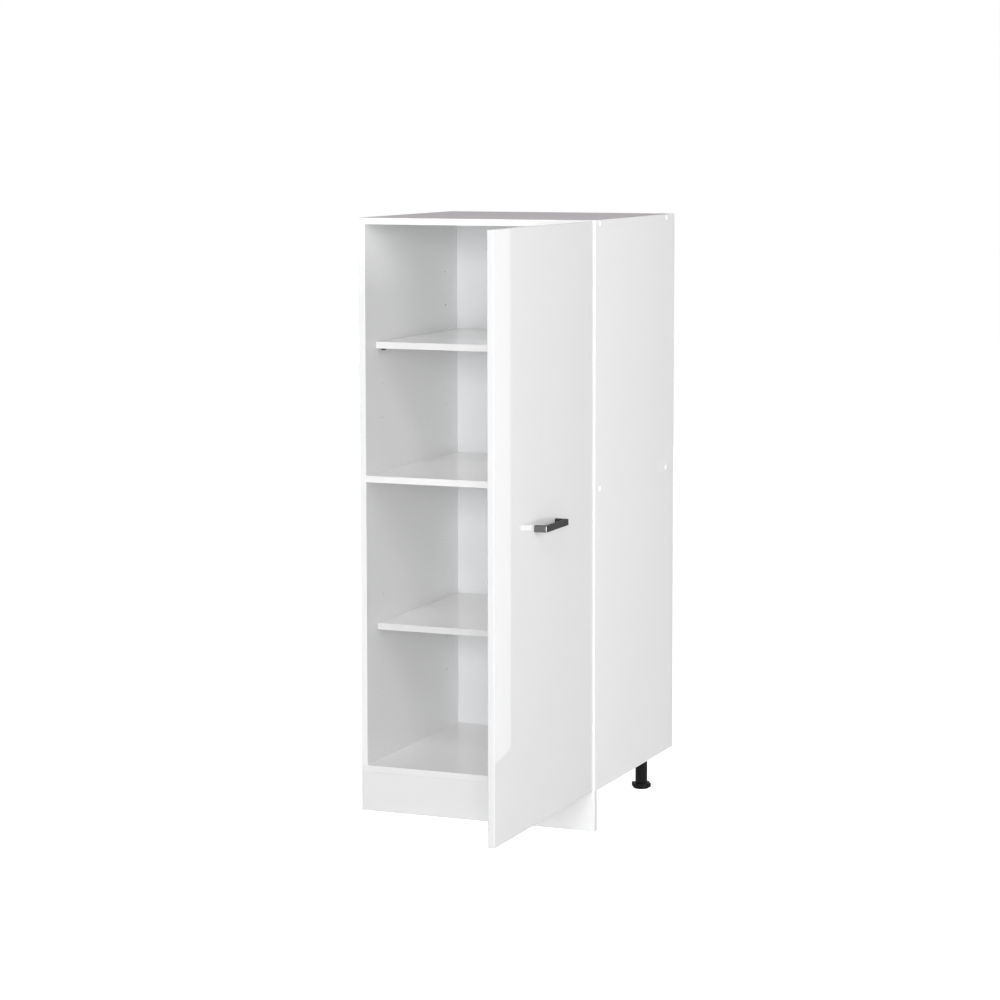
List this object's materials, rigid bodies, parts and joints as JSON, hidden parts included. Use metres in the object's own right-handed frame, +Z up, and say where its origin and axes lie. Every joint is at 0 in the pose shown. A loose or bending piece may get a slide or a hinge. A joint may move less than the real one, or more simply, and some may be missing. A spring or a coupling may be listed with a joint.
{
  "type": "tall kitchen cabinet",
  "caption": "Half-height white kitchen cabinet with one full-height gloss door on concealed cup hinges, black bow handle, fixed and adjustable shelves, plinth and adjustable rear feet.",
  "frame": {"origin": "on the floor under the middle of the carcass's width and depth", "axes": "+Z up, the open front faces -Y, +X towards the hinge side; the door is stored open at a right angle"},
  "size_m": [0.6269, 1.1624, 1.43],
  "materials": {
    "faced_board": "white melamine facing on chipboard, satin",
    "back_board": "thin white-faced fibreboard, satin",
    "gloss_front": "white high-gloss facing on fibreboard",
    "cap_plastic": "white moulded plastic",
    "dark_pin": "dark moulded plastic",
    "zinc_steel": "zinc-plated steel",
    "nickel_steel": "nickel-plated steel",
    "dowel_wood": "beech",
    "foot_plastic": "black moulded plastic",
    "black_handle": "matt black coating on metal",
    "buffer_rubber": "clear soft rubber"
  },
  "bodies": {
    "carcass": {"left_side_panel": "faced_board", "right_side_panel": "faced_board", "top_panel": "faced_board", "fixed_shelf": "faced_board", "bottom_panel": "faced_board", "lower_shelf": "faced_board", "upper_shelf": "faced_board", "back_panel": "back_board", "plinth_board": "faced_board", "side_screws": "zinc_steel", "screw_caps": "cap_plastic", "floor_screws": "zinc_steel", "dowels": "dowel_wood", "back_panel_nails": "zinc_steel", "lower_shelf_pins": "dark_pin", "upper_shelf_pins": "dark_pin", "plinth_brackets": "zinc_steel", "plinth_bracket_screws": "zinc_steel", "left_foot_socket": "foot_plastic", "right_foot_socket": "foot_plastic", "foot_socket_screws": "zinc_steel", "hinge_arms": "nickel_steel", "hinge_arm_pins": "nickel_steel", "hinge_mounting_plates": "nickel_steel", "hinge_plate_screws": "zinc_steel", "hinge_arm_screws": "zinc_steel"},
    "door": {"door_panel": "gloss_front", "door_buffers": "buffer_rubber", "handle": "black_handle", "handle_screws": "zinc_steel", "hinge_cups": "nickel_steel", "hinge_cup_pins": "nickel_steel", "hinge_cup_screws": "zinc_steel"},
    "outer_links": {"hinge_outer_links": "nickel_steel"},
    "inner_links": {"hinge_inner_links": "nickel_steel"},
    "left_glide": {"left_foot_glide": "foot_plastic"},
    "left_adjuster": {"left_foot_adjuster": "foot_plastic"},
    "right_glide": {"right_foot_glide": "foot_plastic"},
    "right_adjuster": {"right_foot_adjuster": "foot_plastic"}
  },
  "joints": [
    {"name": "hinge_link_swing", "type": "hinge", "parent": "carcass", "child": "outer_links", "pos_m": [0.2605, -0.2743, 0.7625], "axis": [0, 0, 1], "range_deg": [-1.31, 22.68]},
    {"name": "door_swing", "type": "hinge", "parent": "outer_links", "child": "door", "pos_m": [0.2821, -0.2948, 0.7625], "axis": [0, 0, 1], "range_deg": [-112.63, 6.26]},
    {"name": "inner_link_swing", "type": "hinge", "parent": "door", "child": "inner_links", "pos_m": [0.2866, -0.2942, 0.7625], "axis": [0, 0, 1], "range_deg": [-5.97, 106.61]},
    {"name": "left_foot_lift", "type": "slide", "parent": "carcass", "child": "left_glide", "axis": [0, 0, -1], "range_m": [0, 0.02]},
    {"name": "left_foot_turn", "type": "hinge", "parent": "left_glide", "child": "left_adjuster", "pos_m": [-0.245, 0.2, 0.01], "axis": [0, 0, 1], "range_deg": [0, 1441]},
    {"name": "right_foot_lift", "type": "slide", "parent": "carcass", "child": "right_glide", "axis": [0, 0, -1], "range_m": [0, 0.02]},
    {"name": "right_foot_turn", "type": "hinge", "parent": "right_glide", "child": "right_adjuster", "pos_m": [0.245, 0.2, 0.01], "axis": [0, 0, 1], "range_deg": [0, 1441]}
  ],
  "couplings": [
    {"joint": "hinge_link_swing", "follows": "door_swing", "ratio": -0.20089},
    {"joint": "inner_link_swing", "follows": "door_swing", "ratio": -0.94614},
    {"joint": "left_foot_turn", "follows": "left_foot_lift", "rad_per_m": 1256.6},
    {"joint": "right_foot_turn", "follows": "right_foot_lift", "rad_per_m": 1256.6}
  ]
}
